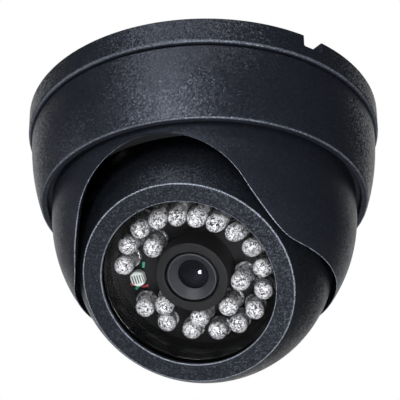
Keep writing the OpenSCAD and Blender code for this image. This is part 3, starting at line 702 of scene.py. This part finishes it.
def make_cover():
    bm = bmesh.new()
    row_of = bm.verts.layers.float.new("row")
    side_of = bm.verts.layers.int.new("side")
    chain = []

    def point(x, z, row=0.0, side=0):
        v = bm.verts.new((x * MM, 0, (COVER_Z + z) * MM))
        v[row_of], v[side_of] = row, side
        chain.append(v)

    top = FLANGE_TOP - COVER_Z
    for k in range(COVER_ROWS + 1):
        point(COVER_R, 0, k / COVER_ROWS, 1)
    for x, z in ((COVER_R + 0.25, NECK_H), (FLANGE_R - 0.25, NECK_H), (FLANGE_R, NECK_H + 0.25),
                 (FLANGE_R, top - 0.25), (FLANGE_R - 0.25, top), (COVER_IN + 0.25, top),
                 (COVER_IN, top - 0.25)):
        point(x, z)
    for k in range(COVER_ROWS + 1):
        point(COVER_IN, 0, 1 - k / COVER_ROWS, 2)
    for a, b in zip(chain, chain[1:] + chain[:1]):
        bm.edges.new((a, b))
    bmesh.ops.spin(bm, geom=bm.verts[:] + bm.edges[:], cent=(0, 0, 0), axis=(0, 0, 1),
                   angle=2 * math.pi, steps=COVER_STEPS, use_merge=True)
    outer, inner = edge_table(COVER_R), edge_table(COVER_IN)
    for v in bm.verts:
        side = v[side_of]
        if not side:
            continue
        angle = math.atan2(v.co.y, v.co.x) % (2 * math.pi)
        k = round(angle / (2 * math.pi) * COVER_STEPS) % COVER_STEPS
        r, edge = (COVER_R, outer[k]) if side == 1 else (COVER_IN, inner[k])
        lowest = NECK_H - edge if edge > 0 else NECK_H + r * math.asin(-edge / r)
        wide, z = down_wall(r, lowest * (1 - v[row_of]))
        v.co = (wide * math.cos(angle) * MM, wide * math.sin(angle) * MM, (COVER_Z + z) * MM)
    bmesh.ops.recalc_face_normals(bm, faces=bm.faces)
    rim = [e for e in bm.edges if all(v[side_of] and v[row_of] < 1e-6 for v in e.verts)
           and e.verts[0][side_of] == e.verts[1][side_of]]
    # the rim of the arch carries a full painted edge highlight
    painted_edge_highlight = bm.verts.layers.float.new("painted_edge_highlight")
    made = bmesh.ops.bevel(bm, geom=rim, offset=0.45 * MM, segments=4, profile=0.5, affect="EDGES",
                           material=-1)
    for f in made["faces"]:
        for v in f.verts:
            if all(n in made["faces"] for n in v.link_faces):
                v[painted_edge_highlight] = 1.0
    boss_r, boss_top = 2.4, FLANGE_LOW - 1.6
    for at in (45, 135, 225, 315):
        boss = outline([(SHANK_R, boss_top - 3.8), (boss_r, boss_top - 4.3), (boss_r, boss_top),
                        (SHANK_R, boss_top)], {1: 0.3})
        join(bm, turn(boss, 32), out_at(at, COVER_IN - 2.2))
    bm.verts.layers.float.remove(bm.verts.layers.float["row"])
    bm.verts.layers.int.remove(bm.verts.layers.int["side"])
    finish(bm, "cover_shell", "abs_cover", "turret", "dome_cover", sharp=40)


# ---------------------------------------------------------------- ball


def make_ball_front():
    low_out = math.asin(SPLIT / BALL_R)
    high_out = math.asin(FACE_Z / BALL_R)
    roof = FACE_Z - 3.0
    high_in, low_in = math.asin(roof / IN_R), math.asin(SPLIT / IN_R)
    outside = arc(0, 0, BALL_R, low_out, high_out, 30)
    inside = arc(0, 0, IN_R, high_in, low_in, 24)
    step = len(outside)
    points = outside + [(OPENING_R, FACE_Z), (OPENING_R, SEAL_TOP), (WINDOW_R + 0.1, SEAL_TOP),
                        (WINDOW_R + 0.1, roof)] + inside
    # the bezel's outer and inner front edges carry a full painted edge highlight
    bm = turn(outline(points, {0: 0.2, step - 1: 0.8, step: 0.45, step + 1: 0.12},
                      {step - 1: 1.0, step: 1.0}), SHELL_STEPS)
    # the flat sides, outside and in, under the arms of the yoke
    for s in (-1, 1):
        for x in (FLAT_X, CAVITY_X):
            bmesh.ops.bisect_plane(bm, geom=bm.verts[:] + bm.edges[:] + bm.faces[:], dist=1e-7,
                                   plane_co=(s * x * MM, 0, 0), plane_no=(s, 0, 0))
    for v in bm.verts:
        limit = (FLAT_X if v.co.length > (IN_R + 0.6) * MM else CAVITY_X) * MM
        if abs(v.co.x) > limit:
            v.co.x = math.copysign(limit, v.co.x)
    bmesh.ops.recalc_face_normals(bm, faces=bm.faces)
    for third in THIRDS:
        join(bm, tube(2.3, SHANK_R, BOARD_Z + 2.05, roof + 0.4, 24),
             out_at(FIRST_SCREW_AT + third, POST_R))
        join(bm, tube(2.6, SHANK_R, SPLIT, SPLIT + 7, 24), out_at(30 + third, IN_R - 2.2))
    for a in (0, 180):
        side = turned_by(a) @ Matrix.Rotation(math.radians(90), 4, "Y")
        join(bm, tube(4.5, 1.52, CAVITY_X - 3, CAVITY_X + 0.4, 40), side)
    finish(bm, "ball_face", "abs_ball", "ball", "ball_front", place=IN_BALL, sharp=36)


def make_window():
    bm = turn(outline([(0, WINDOW_LOW), (WINDOW_R, WINDOW_LOW), (WINDOW_R, WINDOW_TOP),
                       (0, WINDOW_TOP)], {1: 0.15, 2: 0.15}), PANE_STEPS)
    finish(bm, "window_pane", "clear_acrylic", "ball", "window", place=IN_BALL)
    bm = tube(WINDOW_R, OPENING_R + 0.2, WINDOW_TOP, SEAL_TOP, PANE_STEPS, 0.12)
    finish(bm, "seal_ring", "soft_rubber", "ball", "window_seal", place=IN_BALL)


def make_sleeve():
    """The sleeve between the board and the window, with fine ribs near its front."""
    ribs = []
    z = WINDOW_LOW - 1.2
    for _ in range(5):
        ribs += [(OPENING_R, z), (OPENING_R + 0.35, z - 0.15), (OPENING_R, z - 0.55)]
        z -= 0.95
    flange_top = BOARD_Z + 2
    points = ([(OPENING_R, BOARD_Z), (FLANGE_OUT, BOARD_Z), (FLANGE_OUT, flange_top),
               (WINDOW_R, flange_top), (WINDOW_R, WINDOW_LOW), (OPENING_R, WINDOW_LOW)] + ribs)
    bm = turn(outline(points, {1: 0.3, 2: 0.3, 4: 0.15, 5: 0.25}), PANE_STEPS)
    holes = [drum(SHANK_R + 0.1, BOARD_Z - 1, flange_top + 1, 24,
                  place=out_at(FIRST_SCREW_AT + third, POST_R)) for third in THIRDS]
    finish(carve(bm, holes), "recess_sleeve", "gloss_black", "ball", "inner_sleeve", place=IN_BALL)


# ---------------------------------------------------------------- lights and sensor


def light_profile():
    dome = arc(0, LIGHT_H - LIGHT_R, LIGHT_R, 0, math.pi / 2, 7)
    return [(0, 0), (LIGHT_FOOT_R, 0), (LIGHT_FOOT_R, 1.0), (LIGHT_R, 1.0)] + dome


def leaning(angle, r):
    """A light's place. Its bent leads let its tip lean: inwards at the top and the foot of the
    ring, outwards at two of its sides, and a little round the ring."""
    inwards, onwards = 0.3, 0.0
    if r == OUTER_RING:
        inwards = 1.1 - 1.7 * math.cos(2 * math.radians(angle - 150))
        onwards = 1.1 * (1 - math.cos(math.radians(angle - 180)))
    tip = Matrix.Shear("XY", 4, (-inwards / LIGHT_H, onwards / LIGHT_H))
    return out_at(angle, r) @ Matrix.Translation((0, 0, BOARD_Z * MM)) @ tip


def make_lights():
    rings = (OUTER_ANGLES, OUTER_RING), (INNER_ANGLES, INNER_RING)
    places = [leaning(a, r) for angles, r in rings for a in angles]
    lenses, frames = bmesh.new(), bmesh.new()
    leg, leg_low = 0.5, -3.1
    for at in places:
        join(lenses, turn(outline(light_profile(), {1: 0.25, 2: 0.35}), 24), at)
        # the two legs, the head of each, and the reflector cup on the first
        for y, high in ((-1.27, 3.1), (1.27, 3.6)):
            join(frames, block((leg, leg, high - leg_low), (0, y, (high + leg_low) / 2)), at)
        join(frames, block((leg, 1.5, 1.0), (0, -0.85, 2.9)), at)
        join(frames, block((leg, 1.0, 0.7), (0, 1.1, 3.5)), at)
        cup = outline([(0, 3.3), (0.7, 3.3), (1.05, 4.3), (0.9, 4.3), (0.45, 3.75), (0, 3.75)], {})
        join(frames, turn(cup, 20), at @ Matrix.Translation((0, -0.35 * MM, 0)))
    finish(lenses, "light_lenses", "clear_epoxy", "ball", "night_lights", place=IN_BALL,
           even=False)
    finish(frames, "light_frames", "tinned_steel", "ball", "light_leads", place=IN_BALL,
           even=False)


def make_photocell():
    """A disc with two flat sides, half a millimetre above its board."""
    low, high, flat_x = 0.5, 2.5, 0.86 * CELL_R
    bm = turn(outline([(0, low), (CELL_R, low), (CELL_R, high), (0, high)], {1: 0.3, 2: 0.45}), 48)
    for s in (-1, 1):
        cut = bmesh.ops.bisect_plane(bm, geom=bm.verts[:] + bm.edges[:] + bm.faces[:], dist=1e-7,
                                     plane_co=(s * flat_x * MM, 0, 0), plane_no=(s, 0, 0),
                                     clear_outer=True)
        rim = [g for g in cut["geom_cut"] if isinstance(g, bmesh.types.BMEdge)]
        bmesh.ops.holes_fill(bm, edges=rim)
    at = IN_BALL @ out_at(180, CELL_AT) @ Matrix.Translation((0, 0, BOARD_Z * MM))
    finish(bm, "photocell", "sensor_ceramic", "ball", "light_sensor", place=at)


CHIP_H = 0.6


def make_board_parts():
    """Small lacquered parts soldered round the light sensor."""
    for name, look, spots in (
        ("red_parts", "red_lacquer", ((-18.6, -1.4, 60), (-15.6, -3.0, 5))),
        ("green_parts", "green_lacquer", ((-17.6, -2.9, 35), (-14.2, 2.9, 70))),
    ):
        bm = bmesh.new()
        for x, y, a in spots:
            chip = block((1.7, 0.7, CHIP_H), (0, 0, CHIP_H / 2))
            bmesh.ops.bevel(chip, geom=chip.edges[:], offset=0.1 * MM, segments=2, profile=0.5,
                            affect="EDGES", material=-1)
            join(bm, chip, Matrix.Translation((x * MM, y * MM, BOARD_Z * MM)) @ turned_by(a))
        ob = finish(bm, name, "circuit_board", "ball", place=IN_BALL)
        ob.data.materials[0] = LOOKS[look]


# ---------------------------------------------------------------- lens


def make_lens():
    bm = tube(BOOT_R, BOOT_IN, BOARD_Z, LENS_FRONT + 0.3, LENS_STEPS, 0.35)
    finish(bm, "lens_boot", "soft_rubber", "ball", "lens_shroud", place=IN_BALL)
    bore, rear_r, rear_t, lip_t = GLASS_R + 0.7, 3.2, 1.0, 0.4
    seat = LENS_FRONT - CONE
    step = LENS_FRONT - HEAD_L
    points = [(rear_r, LENS_LOW), (THREAD_R, LENS_LOW), (THREAD_R, step), (HEAD_R, step),
              (HEAD_R, LENS_FRONT), (HEAD_R - 0.4, LENS_FRONT), (GLASS_R, seat),
              (GLASS_R, seat - lip_t), (bore, seat - lip_t), (bore, LENS_LOW + rear_t),
              (rear_r, LENS_LOW + rear_t)]
    bm = turn(outline(points, {1: 0.3, 3: 0.2, 4: 0.2, 5: 0.12, 6: 0.15}), LENS_STEPS)
    finish(bm, "lens_housing", "black_anodised", "lens", "lens_barrel", place=IN_BALL)


# ---------------------------------------------------------------- studio


def make_studio():
    bm = bmesh.new()
    bmesh.ops.create_grid(bm, x_segments=1, y_segments=1, size=FLOOR_HALF)
    bmesh.ops.translate(bm, vec=(0, 0, FLOOR_Z), verts=bm.verts)
    mesh = bpy.data.meshes.new("studio_floor")
    bm.to_mesh(mesh)
    bm.free()
    m, t = new_material("pale_floor")
    paper = add(t, "BsdfDiffuse", values={"Color": linear("E8E8E8")})
    finish_material(t, paper.outputs[0])
    mesh.materials.append(m)
    floor = bpy.data.objects.new("studio_floor", mesh)
    bpy.context.scene.collection.objects.link(floor)
    world = bpy.data.worlds.new("studio_air")
    world.use_nodes = True
    tree = world.node_tree
    tree.nodes.clear()
    # a white backdrop far behind the object, and a darker room round the rest of it
    place = add(tree, "TexCoord")
    depth = add(tree, "VectorMath", {"operation": "DOT_PRODUCT"}, {1: AWAY},
                {0: place.outputs["Generated"]})
    behind = add(tree, "MapRange", {"interpolation_type": "SMOOTHSTEP"},
                 {"From Min": BACKDROP_FROM, "From Max": BACKDROP_FULL, "To Min": ROOM_LIGHT,
                  "To Max": BACKDROP_LIGHT},
                 {"Value": depth.outputs["Value"]})
    seen = add(tree, "LightPath")
    strength = add(tree, "Mix", {"data_type": "FLOAT"}, {3: 1.0},
                   {0: seen.outputs["Is Camera Ray"], 2: behind.outputs["Result"]})
    air = add(tree, "Background", values={"Color": (1, 1, 1, 1)},
              links={"Strength": strength.outputs[0]})
    add(tree, "OutputWorld", links={"Surface": air.outputs[0]})
    bpy.context.scene.world = world
    bpy.context.scene.view_settings.view_transform = "Standard"


def lamp(name, round_deg, up_deg, size, watts):
    """A soft square lamp that faces the object's middle: round_deg to the right of the camera
    and up_deg above the horizon."""
    a, e = CAMERA_ROUND + math.radians(round_deg), math.radians(up_deg)
    way = Vector((math.sin(a) * math.cos(e), -math.cos(a) * math.cos(e), math.sin(e)))
    where = AIM + LAMP_DISTANCE * way
    data = bpy.data.lights.new(name, "AREA")
    data.shape, data.size, data.energy = "SQUARE", size, watts
    ob = bpy.data.objects.new(name, data)
    bpy.context.scene.collection.objects.link(ob)
    ob.location = where
    ob.rotation_mode = "QUATERNION"
    ob.rotation_quaternion = (AIM - where).to_track_quat("-Z", "Y")


make_base()
make_ring()
make_cover()
make_ball_front()
make_window()
make_sleeve()
make_lights()
make_photocell()
make_board_parts()
make_lens()
make_studio()
lamp("key_lamp", -24, -6, 0.28, 3.9)
lamp("left_lamp", -90, -5, 0.4, 0.9)
lamp("high_lamp", -30, 32, 0.3, 1.6)
lamp("top_lamp", 10, 55, 0.3, 1.4)
lamp("low_lamp", 5, -62, 0.2, 5.4)
lamp("front_lamp", 22, -34, 0.09, 1.1)
lamp("small_lamp", -8, 8, 0.09, 0.9)
